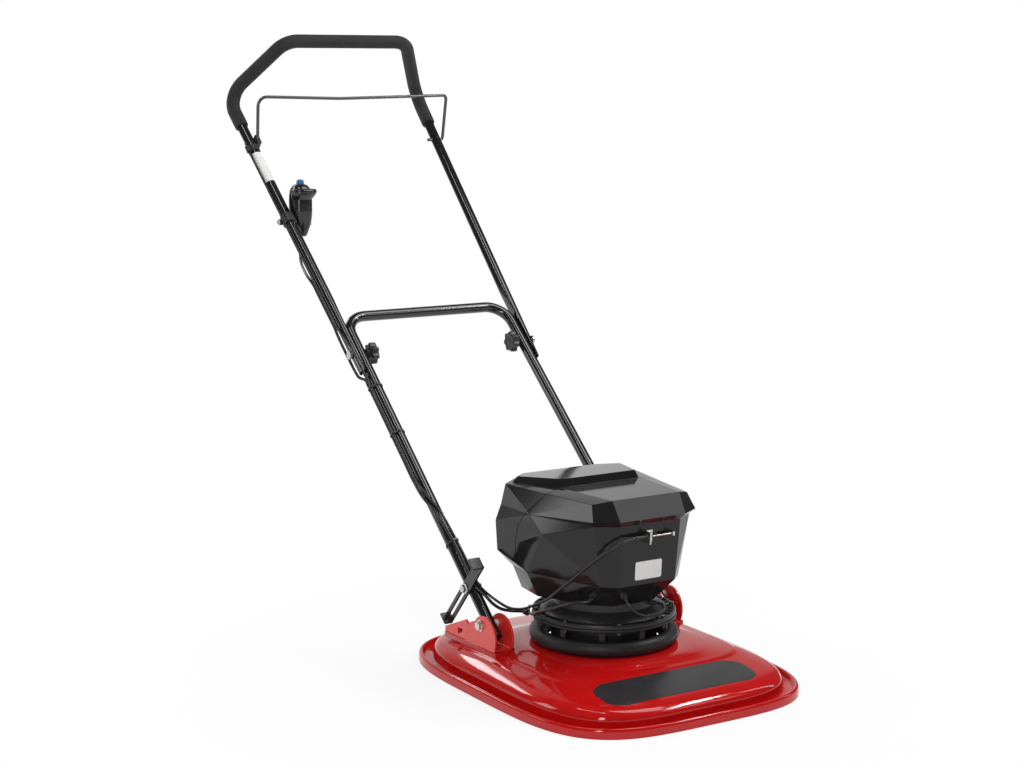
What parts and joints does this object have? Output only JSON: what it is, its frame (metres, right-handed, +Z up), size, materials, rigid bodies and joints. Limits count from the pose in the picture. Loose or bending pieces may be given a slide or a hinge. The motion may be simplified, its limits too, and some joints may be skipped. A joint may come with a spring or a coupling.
{
  "type": "hover mower",
  "caption": "Hover mower with a red domed deck, a faceted battery housing on an air ring, and a folding tube handle with grip, bail and switch.",
  "frame": {"origin": "on the ground under the blade axis", "axes": "+Z up, the handle towards +Y and the front of the deck towards -Y, +X across the mower"},
  "size_m": [0.56, 1.4688, 1.1968],
  "materials": {
    "deck_red": "gloss",
    "bracket_red": "gloss",
    "ring_black": "satin",
    "base_grey": "satin",
    "housing_charcoal": "gloss",
    "tube_black": "gloss",
    "foam_grey": "matte",
    "zinc": "satin",
    "wire_grey": "satin",
    "knob_grey": "satin",
    "switch_black": "gloss",
    "button_blue": "gloss",
    "plate_black": "satin",
    "cable_black": "satin",
    "motor_steel": "satin",
    "blade_steel": "satin",
    "nylon_white": "matte",
    "battery_grey": "matte"
  },
  "bodies": {
    "deck": {"deck_shell": "deck_red", "air_ring": "ring_black", "ring_screws": "zinc", "motor_base": "base_grey", "base_bolts": "plate_black", "motor_can": "motor_steel", "motor_screws": "zinc", "stator": "motor_steel", "upper_bearing": "zinc", "lower_bearing": "zinc", "housing_tray": "housing_charcoal", "front_cover": "housing_charcoal", "lid_hinge_pin": "zinc", "battery_cradle": "base_grey", "battery_pack": "battery_grey", "controller": "motor_steel", "cable_bracket": "zinc", "cable_barrel": "knob_grey", "run_switch": "knob_grey", "bracket_left": "bracket_red", "bracket_right": "bracket_red", "bracket_screws": "zinc", "pivot_bolts": "zinc", "motor_lead": "cable_black", "lead_fittings": "knob_grey"},
    "rotor": {"motor_shaft": "zinc", "motor_rotor": "motor_steel", "impeller": "base_grey", "blade_spacers": "zinc", "blade": "blade_steel", "blade_bolt": "zinc"},
    "lid": {"battery_lid": "housing_charcoal"},
    "lever": {"run_lever": "zinc"},
    "lower": {"lower_handle": "tube_black", "pivot_bushes": "nylon_white", "lock_bolt": "zinc", "fold_bolts": "zinc", "control_cable_lower": "cable_black", "switch_lead_lower": "cable_black", "cable_ties": "cable_black", "control_cable_free": "cable_black", "switch_lead_free": "cable_black"},
    "lock": {"lock_plate": "plate_black"},
    "upper": {"upper_handle": "tube_black", "foam_grip": "foam_grey", "cable_stop": "knob_grey", "switch_front": "switch_black", "switch_back": "switch_black", "switch_core": "knob_grey", "switch_clamp": "knob_grey", "clamp_screw": "zinc", "control_cable_upper": "cable_black", "switch_lead_upper": "cable_black", "control_cable_fold": "cable_black", "switch_lead_fold": "cable_black"},
    "knob_l": {"knob_left": "knob_grey"},
    "knob_r": {"knob_right": "knob_grey"},
    "bail_body": {"bail": "wire_grey", "bail_hub": "knob_grey"},
    "button": {"start_button": "button_blue"}
  },
  "joints": [
    {"name": "blade_spin", "type": "hinge", "parent": "deck", "child": "rotor", "pos_m": [0, 0, 0.05], "axis": [0, 0, 1], "continuous": true},
    {"name": "lid_hinge", "type": "hinge", "parent": "deck", "child": "lid", "pos_m": [0, 0.179, 0.213], "axis": [-1, 0, 0], "range_deg": [0, 75]},
    {"name": "handle_pivot", "type": "hinge", "parent": "deck", "child": "lower", "pos_m": [0, 0.092, 0.103], "axis": [1, 0, 0], "range_deg": [0, 48], "deforming": ["control_cable_free", "switch_lead_free"]},
    {"name": "upper_fold", "type": "hinge", "parent": "lower", "child": "upper", "pos_m": [0, 0.59455, 0.54762], "axis": [1, 0, 0], "range_deg": [0, 130], "deforming": ["control_cable_fold", "switch_lead_fold"]},
    {"name": "lock_slide", "type": "slide", "parent": "lower", "child": "lock", "axis": [0, -0.6626, 0.749], "range_m": [0, 0.075]},
    {"name": "knob_left_spin", "type": "hinge", "parent": "lower", "child": "knob_l", "pos_m": [-0.171, 0.59455, 0.54762], "axis": [1, 0, 0], "continuous": true},
    {"name": "knob_right_spin", "type": "hinge", "parent": "lower", "child": "knob_r", "pos_m": [0.171, 0.59455, 0.54762], "axis": [1, 0, 0], "continuous": true},
    {"name": "bail_pivot", "type": "hinge", "parent": "upper", "child": "bail_body", "pos_m": [0, 1.02688, 0.96077], "axis": [-1, 0, 0], "range_deg": [0, 34], "stiffness_Nm_per_rad": 1.2},
    {"name": "lever_slide", "type": "slide", "parent": "deck", "child": "lever", "axis": [-1, 0, 0], "range_m": [0, 0.012]},
    {"name": "button_press", "type": "slide", "parent": "upper", "child": "button", "axis": [0, 0, -1], "range_m": [0, 0.004], "stiffness_N_per_m": 1500}
  ],
  "couplings": [
    {"joint": "lever_slide", "follows": "bail_pivot", "m_per_rad": 0.02}
  ]
}
